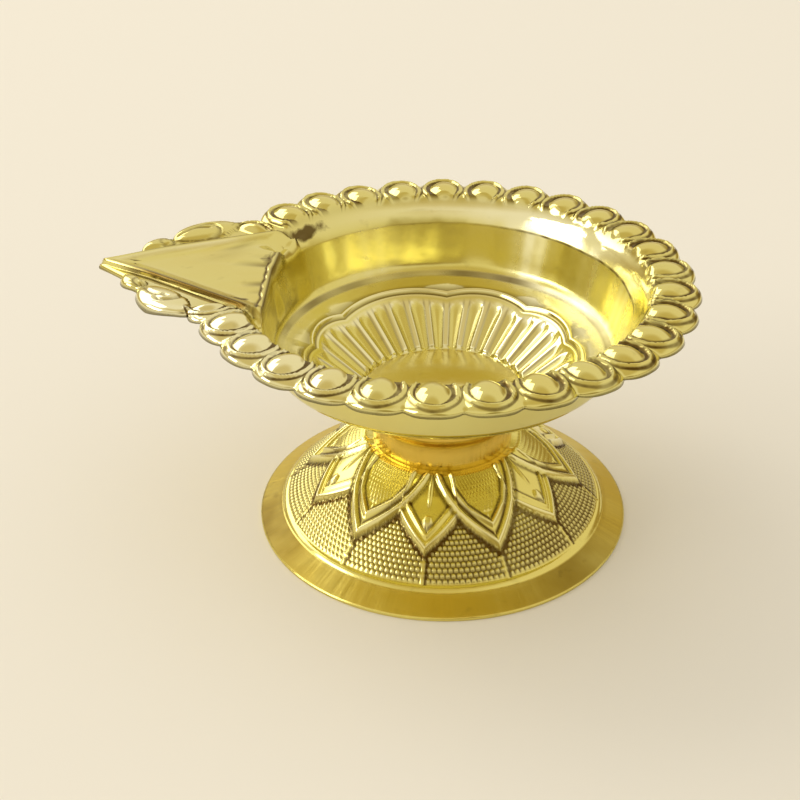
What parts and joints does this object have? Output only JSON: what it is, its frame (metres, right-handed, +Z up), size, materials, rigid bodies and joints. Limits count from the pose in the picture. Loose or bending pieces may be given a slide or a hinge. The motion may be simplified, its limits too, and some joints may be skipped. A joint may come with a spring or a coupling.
{
  "type": "standing oil lamp",
  "caption": "Shallow open lamp bowl with a pointed pouring lip and a beaded scalloped border, on a short collar and a round lotus foot.",
  "frame": {"origin": "centre of the lamp's box in plan, on the plane that the foot stands on; the foot's axis is 8.25 mm along +X", "axes": "+Z up, +X away from the pointed lip along the lamp's length, +Y across the bowl"},
  "size_m": [0.0966, 0.0798, 0.045],
  "materials": {
    "bowl_brass": "mirror-polished, fine scratches in the creases",
    "disc_brass": "mirror-polished",
    "collar_brass": "satin, fine vertical marks",
    "rivet_brass": "dull, as clenched",
    "foot_brass": "polished relief, satin brim"
  },
  "bodies": {
    "root": {"bowl": "bowl_brass", "floor_disc": "disc_brass", "neck_collar": "collar_brass", "centre_rivet": "rivet_brass", "clench_washer": "rivet_brass", "foot": "foot_brass"}
  },
  "joints": []
}
